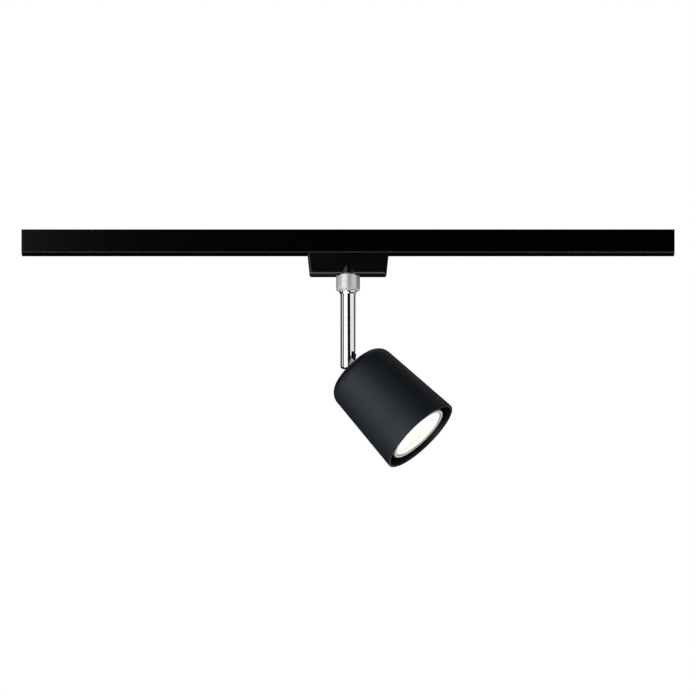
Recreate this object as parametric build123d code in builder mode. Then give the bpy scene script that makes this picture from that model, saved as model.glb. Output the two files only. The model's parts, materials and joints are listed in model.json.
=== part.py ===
"""A track spotlight: a short single-circuit ceiling track, a slide-in adapter with a swivelling
chrome stem, and a conical lamp head with a twist-lock reflector lamp.

Millimetres. The origin is the centre of the track's top face, the one that lies on the ceiling.
+X runs along the track, +Z points up into the ceiling and the lamp head leans towards +X and -Y.
"""

import os
from math import asin, cos, degrees, radians, sin, tan

from build123d import *

# ---------------------------------------------------------------------------------------------
# Driving dimensions
# ---------------------------------------------------------------------------------------------
GAP = 0.3  # air between pieces that move past each other
FIT = 0.05  # radial running clearance of a shaft in its hole

# Track
TRACK_LENGTH = 500.0
TRACK_DEPTH = 26.0
TRACK_HEIGHT = 18.0
TRACK_WEB = 2.0
TRACK_WALL = 1.6
TRACK_LIP = 1.6
TRACK_EDGE = 0.9
MOUTH_WIDTH = 14.4
CEILING_HOLE_SPACING = 400.0
CEILING_HOLE_R = 2.25
END_PLATE = 1.2
END_PLUG_LENGTH = 8.0
INSULATOR_THICKNESS = 4.0
INSULATOR_HEIGHT = 9.5
INSULATOR_SHORTER = 20.0
GROOVE_HEIGHT = 3.2
GROOVE_DEPTH = 2.9
CONDUCTOR_HEIGHT = 2.5
CONDUCTOR_THICKNESS = 1.0
CONDUCTOR_Z = -6.75

# Adapter
ADAPTER_TOP_SIZE = (62.1, 21.8)
ADAPTER_BOTTOM_SIZE = (58.7, 16.2)
ADAPTER_BOTTOM = -34.8
ADAPTER_CORNER = 1.6
ADAPTER_CHAMFER = 1.6
ADAPTER_SHOULDER_FILLET = 3.0
ADAPTER_EDGE_FILLET = 1.8
ADAPTER_WALL = 1.8
ADAPTER_FLOOR = 2.4
BOSS_R = 9.4
BOSS_HEIGHT = 8.6
HUB_FLOOR_TOP = -29.4
COVER_SIZE = (56.4, 17.2)
COVER_THICKNESS = 1.8
POST_X = 23.5
POST_R = 2.3
POST_HOLE_R = 0.95
POST_HOLE_DEPTH = 7.0
NECK_SIZE = (12.0, 13.0)
LUG_REACH = 10.4
LUG_HEIGHT = 3.0
CARRIER_SIZE = (9.0, 10.0)
CARRIER_TOP = -4.5
CONTACT_WIDTH = 4.0
CONTACT_THICKNESS = 1.0
CONTACT_LEG_Y = 3.5
CONTACT_LEG_BOTTOM = -24.0
CONTACT_SLOT_TOP = 2.2
CONTACT_TIP_GAP = 0.15
EARTH_WIDTH = 3.0
EARTH_LEAF = 0.8
EARTH_PRELOAD = 0.2
COVER_SCREW_R = 0.9
COVER_SCREW_HEAD_R = 1.85
COVER_SCREW_LENGTH = 5.5

# Terminal block and the lead to the lamp
BLOCK_SIZE = (9.2, 11.6, 6.8)
BLOCK_X = -15.0
POLE_SPACING = 3.8
TERMINAL_HOLE_R = 1.3
TERMINAL_SCREW_R = 1.2
TERMINAL_SCREW_HEIGHT = 2.6
TERMINAL_SCREW_SUNK = 0.4
TERMINAL_WELL = 4.5
WIRE_HOLE_R = 0.9
WIRE_HOLE_HEIGHT = 2.0
LEAD_R = 1.5
LEAD_BEND = 5.5

# Lock slider, behind the adapter's rear wall
LOCK_X = 15.5
LOCK_TRAVEL = 3.0
LOCK_TONGUE = (5.0, 13.0)
LOCK_SHOULDER = (6.6, 13.6)
LOCK_BOTTOM = -26.5
LOCK_POCKET_TOP = -24.5
THUMB_HEIGHT = 3.0
THUMB_TOP = -22.0
THUMB_REACH = 12.5
SPRING_R = 1.7
SPRING_WIRE_R = 0.22
SPRING_PITCH = 1.2
THUMB_FILLET = 0.8

# Swivel: threaded nipple in the adapter, knurled collar nut, flanged stem
NIPPLE_R = 7.0
NIPPLE_BORE_R = 4.5
NIPPLE_FLANGE = (18.0, 13.6)
NIPPLE_FLANGE_HEIGHT = 1.5
NIPPLE_BOTTOM = -39.5
COLLAR_R = 9.15
COLLAR_TOP = -33.1
COLLAR_BOTTOM = -46.1
COLLAR_TOP_CHAMFER = 0.8
COLLAR_BOTTOM_CHAMFER = 0.8
THREAD_CLEARANCE = 0.1
COLLAR_SHOULDER_Z = -43.5
KNURL_COUNT = 36
KNURL_WIDTH = 0.7
KNURL_DEPTH = 0.4
KNURL_HEIGHT = 2.2
WASHER_THICKNESS = 0.4
FERRULE_WALL_R = 6.4
FERRULE_R = 6.7
FERRULE_TIP_R = 6.1
FERRULE_STRAIGHT = 1.3
FERRULE_NOSE = 1.0
STEM_R = 5.8
STEM_BORE_R = 4.2
STEM_TOP = -41.0
STEM_FLANGE_R = 6.9
STEM_FLANGE_THICKNESS = 2.0
STOP_PIN_R = 0.7
STOP_RADIUS = 5.6
STOP_LENGTH = 1.2
STOP_TAB_HALF_ANGLE = 6.0
STOP_SEAT = 3.0

# Attitude at rest: the stem is turned from the track's line and the head hangs off plumb
SWIVEL = 16.6
TILT = 44.5
PIVOT_Z = -100.6

# Fork at the stem's lower end
STEM_END_BELOW_PIVOT = 5.5
STEM_END_FILLET = 1.9
NOTCH_ABOVE_PIVOT = 7.6
SADDLE_EDGE = ((5.9, 9.3), (5.4, 8.2), (2.8, 1.95), (1.4, -3.4), (1.1, -5.6))
NOTCH_HALF_WIDTH = 4.2
FORK_BORE_R = 4.6
TILT_SCREW_R = 1.25
TILT_SCREW_SEAT = 5.3
TILT_SCREW_HEAD_R = 2.2
TILT_SCREW_HEAD = 1.2
THREAD_PLAY = 0.02

# Hinge bracket of the head
CHEEK_OUTSIDE = 3.4
CHEEK_INSIDE = 2.2
CHEEK_R = 3.0
CHEEK_RISE = 4.6
CHEEK_CORNER = 2.0
FOOT_SIZE = (22.0, 12.0)
FOOT_THICKNESS = 1.5
FOOT_SCREW_SPACING = 14.0
TILT_WASHER_R = 2.2
TILT_WASHER_THICKNESS = 0.5
TAP_DEPTH = 2.3
PAN_HEAD_R = 2.0
PAN_HEAD_HEIGHT = 1.1
CROSS_LENGTH = 2.6
CROSS_WIDTH = 0.5
CROSS_DEPTH = 0.5
BRACKET_SCREW_LENGTH = 4.6
HOLDER_SCREW_LENGTH = 6.0

# Shade, measured along the head's axis from the tilt pivot
SHADE_BACK = 8.0
SHADE_FRONT = 82.9
SHADE_BACK_R = 27.05
SHADE_FRONT_R = 33.05
SHADE_WALL = 2.2
SHADE_BACK_WALL = 3.0
SHADE_BACK_FILLET = 10.25
SHADE_LIP_FILLET = 0.8

# Lampholder and its hat-shaped bracket
HOLDER_BACK = 16.5
HOLDER_FRONT = 32.5
HOLDER_R = 12.8
HOLDER_PLATE = 1.0
HOLDER_FILLET = 1.0
HOLDER_SCREW_SPACING = 18.0
HAT_WIDTH = 17.0
HAT_TOP = 12.0
HAT_WALL_AT = 5.5
HAT_FOOT = 7.0
HAT_FOOT_AT = 8.5
LEAD_HOLE_R = 1.9
PIN_RADIUS_OUT = 5.0
PIN_NECK_R = 1.55
PIN_HEAD_R = 2.5
PIN_HEAD_HEIGHT = 2.5
PIN_END = 25.8
BAYONET_TURN = 30.0
LOCKED_ANGLE = 90.0
SPRING_CONTACT = (3.0, 3.6, 0.5)
SPRING_CONTACT_BACK = 0.8
HEAD_LEAD_BACK = 2.4

# Lamp
LAMP_BACK = 32.8
LAMP_FACE = 80.4
LAMP_R = 25.15
BASE_R = 12.0
BASE_FRONT = 46.0
BASE_NECK_R = 9.6
BASE_BORE_R = 10.4
BASE_FLOOR = 5.5
PIN_SEAT = 2.5
BODY_FRONT = 76.8
BODY_BACK_R = 14.5
BODY_MID_R = 20.6
BODY_FRONT_R = 24.4
BODY_SEAT_R = 17.6
BEZEL_CHAMFER = 0.6
BEZEL_FACE_INSET = 0.7
LENS_R = 22.1
LENS_BACK = 78.5
LENS_EDGE = 1.1
LENS_DOME = 0.6
LED_BOARD_U = 62.0
LED_CIRCLE_R = 8.0
LED_BOARD_R = 17.0
LED_BOARD_THICKNESS = 1.6
CHIP_SIZE = 3.0
CHIP_HEIGHT = 0.8
DRIVER_SIZE = (17.0, 1.2, 18.0)

# ---------------------------------------------------------------------------------------------
# Derived sizes and planes
# ---------------------------------------------------------------------------------------------
PROFILE_LENGTH = TRACK_LENGTH - 2 * END_PLATE
CHANNEL_WIDTH = TRACK_DEPTH - 2 * TRACK_WALL
CHANNEL_FLOOR = -(TRACK_HEIGHT - TRACK_LIP)
INSULATOR_LENGTH = PROFILE_LENGTH - INSULATOR_SHORTER
INSULATOR_FACE = CHANNEL_WIDTH / 2 - INSULATOR_THICKNESS
CONDUCTOR_FACE = INSULATOR_FACE + GROOVE_DEPTH - CONDUCTOR_THICKNESS
ADAPTER_TOP = -TRACK_HEIGHT - GAP
ADAPTER_HEIGHT = ADAPTER_TOP - ADAPTER_BOTTOM
COVER_BOTTOM = ADAPTER_TOP - COVER_THICKNESS
LUG_BOTTOM = CHANNEL_FLOOR + GAP
LUG_TOP = LUG_BOTTOM + LUG_HEIGHT
FLOOR_TOP = ADAPTER_BOTTOM + ADAPTER_FLOOR
BLOCK_BOTTOM = FLOOR_TOP + FIT
STEM_END = PIVOT_Z - STEM_END_BELOW_PIVOT
NOTCH_TOP = PIVOT_Z + NOTCH_ABOVE_PIVOT
SHADE_INNER_BACK = SHADE_BACK + SHADE_BACK_WALL
BRACKET_BASE = SHADE_INNER_BACK + FOOT_THICKNESS
LED_FACE = LED_BOARD_U + LED_BOARD_THICKNESS

stem_x = Vector(cos(radians(SWIVEL)), -sin(radians(SWIVEL)), 0)
hinge_line = Vector(-sin(radians(SWIVEL)), -cos(radians(SWIVEL)), 0)
head_axis = stem_x * sin(radians(TILT)) + Vector(0, 0, -cos(radians(TILT)))
head_up = stem_x * cos(radians(TILT)) + Vector(0, 0, sin(radians(TILT)))
PIVOT = Vector(0, 0, PIVOT_Z)

STEM = Plane(origin=(0, 0, 0), x_dir=stem_x, z_dir=(0, 0, 1))
FORK_SIDE = Plane(origin=PIVOT, x_dir=stem_x, z_dir=hinge_line)
HEAD = Plane(origin=PIVOT, x_dir=head_up, z_dir=head_axis)
HEAD_SECTION = Plane(origin=PIVOT, x_dir=head_up, z_dir=-hinge_line)
HEAD_AXIS = Axis(PIVOT, head_axis)

os.makedirs("parts", exist_ok=True)


# ---------------------------------------------------------------------------------------------
# Helpers
# ---------------------------------------------------------------------------------------------
def save(builder, name):
    """Labels a finished piece and writes it as one STEP file."""
    builder.part.label = name
    export_step(builder.part, f"parts/{name}.step")


def adapter_size(z, inset=0.0):
    """Outline of the drafted adapter block at height z, pulled in by inset on every side."""
    share = (z - ADAPTER_BOTTOM) / ADAPTER_HEIGHT
    return tuple(
        low + (high - low) * share - 2 * inset
        for low, high in zip(ADAPTER_BOTTOM_SIZE, ADAPTER_TOP_SIZE)
    )


def corner(sketch, x, y):
    """The vertex of a section that lies nearest to the point x, y."""
    return sketch.vertices().sort_by_distance((x, y, 0))[0]


def turned(points, plane=HEAD_SECTION, axis=HEAD_AXIS):
    """A turned piece from its half section: radius and height along the axis of each corner."""
    with BuildPart() as piece:
        with BuildSketch(plane):
            with BuildLine():
                Polyline(*points, close=True)
            make_face()
        revolve(axis=axis)
    return piece


# ---------------------------------------------------------------------------------------------
# Track
# ---------------------------------------------------------------------------------------------
with BuildPart() as track_profile:
    with BuildSketch(Plane.YZ.offset(-PROFILE_LENGTH / 2)) as section:
        Rectangle(TRACK_DEPTH, TRACK_HEIGHT, align=(Align.CENTER, Align.MAX))
        fillet(section.vertices().group_by(Axis.Y)[0], radius=TRACK_EDGE)
        with Locations((0, -TRACK_WEB)):
            Rectangle(
                CHANNEL_WIDTH,
                TRACK_HEIGHT - TRACK_WEB - TRACK_LIP,
                align=(Align.CENTER, Align.MAX),
                mode=Mode.SUBTRACT,
            )
        with Locations((0, -TRACK_HEIGHT)):
            Rectangle(MOUTH_WIDTH, TRACK_LIP, align=(Align.CENTER, Align.MIN), mode=Mode.SUBTRACT)
    extrude(amount=PROFILE_LENGTH)
    with Locations(Plane.XY):
        with GridLocations(CEILING_HOLE_SPACING, 0, 2, 1):
            Hole(CEILING_HOLE_R, depth=TRACK_WEB)
save(track_profile, "track_profile")


def make_insulator(side):
    """Insulating strip along one side wall of the channel, grooved for its conductor."""
    with BuildPart() as strip:
        with BuildSketch(Plane.YZ.offset(-INSULATOR_LENGTH / 2)):
            with Locations((side * (INSULATOR_FACE + INSULATOR_THICKNESS / 2), -TRACK_WEB)):
                Rectangle(INSULATOR_THICKNESS, INSULATOR_HEIGHT, align=(Align.CENTER, Align.MAX))
            with Locations((side * (INSULATOR_FACE + GROOVE_DEPTH / 2), CONDUCTOR_Z)):
                Rectangle(GROOVE_DEPTH, GROOVE_HEIGHT, mode=Mode.SUBTRACT)
        extrude(amount=INSULATOR_LENGTH)
    return strip


def make_conductor(side):
    """Copper strip that lies at the bottom of an insulator's groove."""
    with BuildPart() as strip:
        with BuildSketch(Plane.YZ.offset(-INSULATOR_LENGTH / 2)):
            with Locations((side * (CONDUCTOR_FACE + CONDUCTOR_THICKNESS / 2), CONDUCTOR_Z)):
                Rectangle(CONDUCTOR_THICKNESS, CONDUCTOR_HEIGHT)
        extrude(amount=INSULATOR_LENGTH)
    return strip


for name, side in (("front", -1), ("rear", 1)):
    save(make_insulator(side), f"insulator_{name}")
for name, side in (("live", -1), ("neutral", 1)):
    save(make_conductor(side), f"{name}_conductor")


def make_end_cap(side):
    """End plate of the track with a plug that fits between the insulators."""
    plug_width = 2 * INSULATOR_FACE - 2 * GAP
    plug_height = TRACK_HEIGHT - TRACK_WEB - TRACK_LIP - 2 * FIT
    with BuildPart() as cap:
        with BuildSketch(Plane.YZ.offset(side * PROFILE_LENGTH / 2)):
            Rectangle(TRACK_DEPTH, TRACK_HEIGHT, align=(Align.CENTER, Align.MAX))
        extrude(amount=side * END_PLATE)
        fillet(cap.edges().filter_by(Axis.X).group_by(Axis.Z)[0], radius=TRACK_EDGE)
        with BuildSketch(Plane.YZ.offset(side * PROFILE_LENGTH / 2)):
            with Locations((0, -TRACK_WEB - FIT)):
                Rectangle(plug_width, plug_height, align=(Align.CENTER, Align.MAX))
        extrude(amount=-side * END_PLUG_LENGTH)
    return cap


for name, side in (("left", -1), ("right", 1)):
    save(make_end_cap(side), f"end_cap_{name}")

# ---------------------------------------------------------------------------------------------
# Adapter
# ---------------------------------------------------------------------------------------------
with BuildPart() as adapter_cavity:
    with BuildSketch(Plane.XY.offset(FLOOR_TOP)):
        Rectangle(*adapter_size(FLOOR_TOP, ADAPTER_WALL))
    with BuildSketch(Plane.XY.offset(ADAPTER_TOP)):
        Rectangle(*adapter_size(ADAPTER_TOP, ADAPTER_WALL))
    loft()
    with BuildSketch(Plane.XY.offset(FLOOR_TOP)):
        Circle(BOSS_R)
    extrude(amount=HUB_FLOOR_TOP - FLOOR_TOP, mode=Mode.SUBTRACT)

shoulder_z = ADAPTER_BOTTOM + ADAPTER_CHAMFER
with BuildPart() as adapter_housing:
    with BuildSketch(Plane.YZ.offset(-ADAPTER_TOP_SIZE[0] / 2)) as section:
        top_y = ADAPTER_TOP_SIZE[1] / 2
        shoulder_y = adapter_size(shoulder_z)[1] / 2
        foot_y = shoulder_y - ADAPTER_CHAMFER
        with BuildLine():
            Polyline(
                (-top_y, ADAPTER_TOP),
                (-shoulder_y, shoulder_z),
                (-foot_y, ADAPTER_BOTTOM),
                (foot_y, ADAPTER_BOTTOM),
                (shoulder_y, shoulder_z),
                (top_y, ADAPTER_TOP),
                close=True,
            )
        make_face()
        fillet(section.vertices().group_by(Axis.Y)[1], radius=ADAPTER_SHOULDER_FILLET)
        fillet(section.vertices().group_by(Axis.Y)[0], radius=ADAPTER_EDGE_FILLET)
    extrude(amount=ADAPTER_TOP_SIZE[0])
    with BuildSketch(Plane.XZ.offset(-top_y)):
        with BuildLine():
            top_x, bottom_x = ADAPTER_TOP_SIZE[0] / 2, ADAPTER_BOTTOM_SIZE[0] / 2
            Polyline(
                (-top_x, ADAPTER_TOP),
                (-bottom_x, ADAPTER_BOTTOM),
                (bottom_x, ADAPTER_BOTTOM),
                (top_x, ADAPTER_TOP),
                close=True,
            )
        make_face()
    extrude(amount=ADAPTER_TOP_SIZE[1], mode=Mode.INTERSECT)
    ends = adapter_housing.faces().sort_by(Axis.X)
    rims = [edge for end in (ends[0], ends[-1]) for edge in end.edges().sort_by(Axis.Z)[:-1]]
    fillet(rims, radius=ADAPTER_CORNER)
    with BuildSketch(Plane.XY.offset(ADAPTER_BOTTOM)):
        Circle(BOSS_R)
    extrude(amount=BOSS_HEIGHT)
    add(adapter_cavity.part, mode=Mode.SUBTRACT)
    with BuildSketch(Plane.XY.offset(ADAPTER_BOTTOM)):
        Circle(COLLAR_R + GAP)
    extrude(amount=COLLAR_TOP + GAP - ADAPTER_BOTTOM, mode=Mode.SUBTRACT)
    with BuildSketch(Plane.XY.offset(FLOOR_TOP)):
        with GridLocations(2 * POST_X, 0, 2, 1):
            Circle(POST_R)
    extrude(amount=COVER_BOTTOM - FLOOR_TOP)
    with Locations(Plane.XY.offset(COVER_BOTTOM)):
        with GridLocations(2 * POST_X, 0, 2, 1):
            Hole(POST_HOLE_R, depth=POST_HOLE_DEPTH)
    with Locations(Plane.XY.offset(HUB_FLOOR_TOP)):
        Hole(NIPPLE_R + FIT)
    window = LOCK_TRAVEL + THUMB_HEIGHT + 2 * GAP
    with BuildSketch(Plane.XZ.offset(-ADAPTER_BOTTOM_SIZE[1] / 3)):
        with Locations((LOCK_X, THUMB_TOP + GAP)):
            Rectangle(LOCK_TONGUE[0] + 2 * GAP, window, align=(Align.CENTER, Align.MAX))
    extrude(amount=-ADAPTER_TOP_SIZE[1], mode=Mode.SUBTRACT)
save(adapter_housing, "adapter_housing")

with BuildPart() as contact_head:
    with BuildSketch(Plane.XY.offset(COVER_BOTTOM)) as cover:
        RectangleRounded(*COVER_SIZE, 1.0)
        with Locations((LOCK_X, 0)):
            Rectangle(LOCK_TONGUE[0] + 2 * GAP, LOCK_TONGUE[1] + 2 * GAP, mode=Mode.SUBTRACT)
    extrude(amount=COVER_THICKNESS)
    with BuildSketch(Plane.XY.offset(ADAPTER_TOP)):
        Rectangle(*NECK_SIZE)
    extrude(amount=LUG_BOTTOM - ADAPTER_TOP)
    with BuildSketch(Plane.XY.offset(LUG_BOTTOM)):
        RectangleRounded(NECK_SIZE[0], 2 * LUG_REACH, 1.5)
    extrude(amount=LUG_HEIGHT)
    with BuildSketch(Plane.XY.offset(LUG_TOP)):
        Rectangle(*CARRIER_SIZE)
    extrude(amount=CARRIER_TOP - LUG_TOP)
    with Locations(Plane.XY.offset(ADAPTER_TOP)):
        with GridLocations(2 * POST_X, 0, 2, 1):
            CounterSinkHole(COVER_SCREW_R + 3 * FIT, COVER_SCREW_HEAD_R + 3 * FIT)
    with BuildSketch(Plane.XY.offset(CARRIER_TOP - CONTACT_SLOT_TOP)):
        with GridLocations(0, 2 * CONTACT_LEG_Y, 1, 2):
            Rectangle(CONTACT_WIDTH + 2 * FIT, CONTACT_THICKNESS + 2 * FIT)
    extrude(amount=COVER_BOTTOM - CARRIER_TOP, mode=Mode.SUBTRACT)
    with BuildSketch(Plane.XY.offset(CONDUCTOR_Z - CONTACT_THICKNESS / 2 - FIT)):
        with GridLocations(0, CARRIER_SIZE[1], 1, 2):
            Rectangle(CONTACT_WIDTH + 2 * FIT, CARRIER_SIZE[1] / 2 - 1 + 2 * FIT)
    extrude(amount=CONTACT_THICKNESS + 2 * FIT, mode=Mode.SUBTRACT)
    with BuildSketch(Plane.XZ.offset(NECK_SIZE[1] / 2 - 1.0)):
        with Locations((0, COVER_BOTTOM)):
            Rectangle(EARTH_WIDTH + 2 * FIT, LUG_BOTTOM - COVER_BOTTOM, align=(Align.CENTER, Align.MIN))
    extrude(amount=1.0, mode=Mode.SUBTRACT)
save(contact_head, "contact_head")


def make_contact(side):
    """Sprung copper contact: a leg down through the neck and a blade out to the conductor."""
    tip = CONDUCTOR_FACE - CONTACT_TIP_GAP
    with BuildPart() as contact:
        with BuildSketch(Plane.XY.offset(CONDUCTOR_Z + CONTACT_THICKNESS / 2)):
            with Locations((0, side * CONTACT_LEG_Y)):
                Rectangle(CONTACT_WIDTH, CONTACT_THICKNESS)
        extrude(amount=CONTACT_LEG_BOTTOM - CONDUCTOR_Z - CONTACT_THICKNESS / 2)
        inner = CONTACT_LEG_Y - CONTACT_THICKNESS / 2
        with BuildSketch(Plane.XY.offset(CONDUCTOR_Z - CONTACT_THICKNESS / 2)):
            with Locations((0, side * (inner + tip) / 2)):
                RectangleRounded(CONTACT_WIDTH, tip - inner, 0.4)
        extrude(amount=CONTACT_THICKNESS)
    return contact


for name, side in (("live", -1), ("neutral", 1)):
    save(make_contact(side), f"{name}_contact")

with BuildPart() as earth_contact:
    # A leaf in the front of the neck, bowed out to touch the edge of the metal track's mouth.
    inner_y = -NECK_SIZE[1] / 2 + EARTH_LEAF + FIT
    outer_y = inner_y - EARTH_LEAF
    touch_y = -MOUTH_WIDTH / 2 + EARTH_PRELOAD
    with BuildSketch(Plane.YZ.offset(-EARTH_WIDTH / 2)):
        with BuildLine():
            Polyline(
                (inner_y, CONTACT_LEG_BOTTOM),
                (inner_y, LUG_BOTTOM - 2 * FIT),
                (outer_y, LUG_BOTTOM - 2 * FIT),
                (touch_y, CHANNEL_FLOOR - TRACK_LIP / 3),
                (touch_y, CHANNEL_FLOOR - TRACK_LIP / 2),
                (outer_y, ADAPTER_TOP + 2 * FIT),
                (outer_y, CONTACT_LEG_BOTTOM),
                close=True,
            )
        make_face()
    extrude(amount=EARTH_WIDTH)
save(earth_contact, "earth_contact")

with BuildPart() as terminal_block:
    with BuildSketch(Plane.XY.offset(BLOCK_BOTTOM)):
        with Locations((BLOCK_X, 0)):
            Rectangle(BLOCK_SIZE[0], BLOCK_SIZE[1])
    extrude(amount=BLOCK_SIZE[2])
    with Locations(Plane.XY.offset(BLOCK_BOTTOM + BLOCK_SIZE[2])):
        with Locations((BLOCK_X, 0)):
            with GridLocations(0, POLE_SPACING, 1, 3):
                Hole(TERMINAL_HOLE_R, depth=TERMINAL_WELL)
    with BuildSketch(Plane.YZ.offset(BLOCK_X - BLOCK_SIZE[0] / 2)):
        with Locations((0, BLOCK_BOTTOM + WIRE_HOLE_HEIGHT)):
            with GridLocations(POLE_SPACING, 0, 3, 1):
                Circle(WIRE_HOLE_R)
    extrude(amount=BLOCK_SIZE[0], mode=Mode.SUBTRACT)
save(terminal_block, "terminal_block")

with BuildPart() as terminal_screws:
    screw_top = BLOCK_BOTTOM + BLOCK_SIZE[2] - TERMINAL_SCREW_SUNK
    with BuildSketch(Plane.XY.offset(screw_top)):
        with Locations((BLOCK_X, 0)):
            with GridLocations(0, POLE_SPACING, 1, 3):
                Circle(TERMINAL_SCREW_R)
    extrude(amount=-TERMINAL_SCREW_HEIGHT)
    with BuildSketch(Plane.XY.offset(screw_top)):
        with Locations((BLOCK_X, 0)):
            with GridLocations(0, POLE_SPACING, 1, 3):
                Rectangle(1.5 * TERMINAL_SCREW_R, CROSS_WIDTH)
    extrude(amount=-CROSS_DEPTH, mode=Mode.SUBTRACT)
save(terminal_screws, "terminal_screws")

with BuildPart() as cover_screws:
    head_top = ADAPTER_TOP - FIT
    with BuildSketch(Plane.XY.offset(COVER_BOTTOM - COVER_SCREW_LENGTH)):
        with GridLocations(2 * POST_X, 0, 2, 1):
            Circle(COVER_SCREW_R)
    extrude(amount=head_top - COVER_BOTTOM + COVER_SCREW_LENGTH)
    with BuildSketch(Plane.XY.offset(head_top)):
        with GridLocations(2 * POST_X, 0, 2, 1):
            Circle(COVER_SCREW_HEAD_R)
    extrude(amount=COVER_SCREW_R - COVER_SCREW_HEAD_R, taper=45)
    with BuildSketch(Plane.XY.offset(head_top)):
        with GridLocations(2 * POST_X, 0, 2, 1):
            Rectangle(1.2 * COVER_SCREW_HEAD_R, CROSS_WIDTH)
            Rectangle(CROSS_WIDTH, 1.2 * COVER_SCREW_HEAD_R)
    extrude(amount=-CROSS_DEPTH, mode=Mode.SUBTRACT)
save(cover_screws, "cover_screws")

with BuildPart() as adapter_lead:
    lead_z = BLOCK_BOTTOM + BLOCK_SIZE[2] - LEAD_R / 2
    with BuildLine() as lead_route:
        FilletPolyline(
            (BLOCK_X + BLOCK_SIZE[0] / 2 + FIT, 0, lead_z),
            (0, 0, lead_z),
            (0, 0, NIPPLE_BOTTOM + GAP),
            radius=LEAD_BEND,
        )
    with BuildSketch(Plane(origin=lead_route.line @ 0, z_dir=lead_route.line % 0)):
        Circle(LEAD_R)
    sweep()
save(adapter_lead, "adapter_lead")

# ---------------------------------------------------------------------------------------------
# Lock slider
# ---------------------------------------------------------------------------------------------
with BuildPart() as lock_slider:
    with BuildSketch(Plane.XY.offset(LOCK_BOTTOM)):
        with Locations((LOCK_X, 0)):
            Rectangle(*LOCK_SHOULDER)
    extrude(amount=COVER_BOTTOM - GAP - LOCK_BOTTOM)
    with BuildSketch(Plane.XY.offset(COVER_BOTTOM - GAP)):
        with Locations((LOCK_X, 0)):
            Rectangle(*LOCK_TONGUE)
    extrude(amount=CHANNEL_FLOOR - COVER_BOTTOM + GAP)
    with BuildSketch(Plane.XZ.offset(-LOCK_SHOULDER[1] / 2)):
        with Locations((LOCK_X, THUMB_TOP)):
            Rectangle(LOCK_TONGUE[0], THUMB_HEIGHT, align=(Align.CENTER, Align.MAX))
    extrude(amount=LOCK_SHOULDER[1] / 2 - THUMB_REACH)
    fillet(lock_slider.edges().filter_by(Axis.X).group_by(Axis.Y)[-1], radius=THUMB_FILLET)
    with BuildSketch(Plane.XY.offset(LOCK_BOTTOM)):
        with Locations((LOCK_X, 0)):
            Circle(SPRING_R + SPRING_WIRE_R + GAP)
    extrude(amount=LOCK_POCKET_TOP - LOCK_BOTTOM, mode=Mode.SUBTRACT)
save(lock_slider, "lock_slider")

with BuildPart() as lock_spring:
    spring_low = FLOOR_TOP + SPRING_WIRE_R + FIT
    spring_high = LOCK_POCKET_TOP - SPRING_WIRE_R - FIT
    with BuildLine() as coil:
        Helix(SPRING_PITCH, spring_high - spring_low, SPRING_R, center=(LOCK_X, 0, spring_low))
    with BuildSketch(Plane(origin=coil.line @ 0, z_dir=coil.line % 0)):
        Circle(SPRING_WIRE_R)
    sweep(is_frenet=True)
save(lock_spring, "lock_spring")

# ---------------------------------------------------------------------------------------------
# Swivel
# ---------------------------------------------------------------------------------------------
with BuildPart() as swivel_nipple:
    with BuildSketch(Plane.XY.offset(HUB_FLOOR_TOP)):
        RectangleRounded(*NIPPLE_FLANGE, 1.0)
    extrude(amount=NIPPLE_FLANGE_HEIGHT)
    with BuildSketch(Plane.XY.offset(NIPPLE_BOTTOM)):
        Circle(NIPPLE_R)
    extrude(amount=HUB_FLOOR_TOP - NIPPLE_BOTTOM)
    with Locations(Plane.XY.offset(HUB_FLOOR_TOP + NIPPLE_FLANGE_HEIGHT)):
        Hole(NIPPLE_BORE_R)
    with BuildSketch(Plane.XY.offset(NIPPLE_BOTTOM)):
        with Locations((-STOP_RADIUS, 0)):
            Circle(STOP_PIN_R)
    extrude(amount=STOP_SEAT, mode=Mode.SUBTRACT)
save(swivel_nipple, "swivel_nipple")

with BuildPart() as stop_pin:
    with BuildSketch(Plane.XY.offset(NIPPLE_BOTTOM - STOP_LENGTH)):
        with Locations((-STOP_RADIUS, 0)):
            Circle(STOP_PIN_R)
    extrude(amount=STOP_LENGTH + STOP_SEAT)
save(stop_pin, "stop_pin")

bore_r = NIPPLE_R + THREAD_CLEARANCE
collar_blank = turned(
    (
        (bore_r, COLLAR_TOP),
        (COLLAR_R - COLLAR_TOP_CHAMFER, COLLAR_TOP),
        (COLLAR_R, COLLAR_TOP - COLLAR_TOP_CHAMFER),
        (COLLAR_R, COLLAR_BOTTOM + COLLAR_BOTTOM_CHAMFER),
        (COLLAR_R - COLLAR_BOTTOM_CHAMFER, COLLAR_BOTTOM),
        (FERRULE_WALL_R, COLLAR_BOTTOM),
        (FERRULE_WALL_R, COLLAR_SHOULDER_Z),
        (bore_r, COLLAR_SHOULDER_Z),
    ),
    Plane.XZ,
    Axis.Z,
)
with BuildPart() as collar_nut:
    add(collar_blank.part)
    with BuildSketch(Plane.XY.offset(COLLAR_BOTTOM)):
        with PolarLocations(COLLAR_R + KNURL_WIDTH / 2 - KNURL_DEPTH, KNURL_COUNT):
            Circle(KNURL_WIDTH / 2)
    extrude(amount=KNURL_HEIGHT, mode=Mode.SUBTRACT)
save(collar_nut, "collar_nut")

# A plated guide ring pressed into the nut's opening. Its nose shows as a narrow neck below the nut.
guide_r = STEM_R + FIT
straight_end = COLLAR_BOTTOM - FERRULE_STRAIGHT
nose_end = straight_end - FERRULE_NOSE
collar_ferrule = turned(
    (
        (guide_r, COLLAR_SHOULDER_Z),
        (FERRULE_WALL_R, COLLAR_SHOULDER_Z),
        (FERRULE_WALL_R, COLLAR_BOTTOM),
        (FERRULE_R, COLLAR_BOTTOM),
        (FERRULE_R, straight_end),
        (FERRULE_TIP_R, nose_end),
        (guide_r, nose_end),
    ),
    Plane.XZ,
    Axis.Z,
)
save(collar_ferrule, "collar_ferrule")

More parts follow.
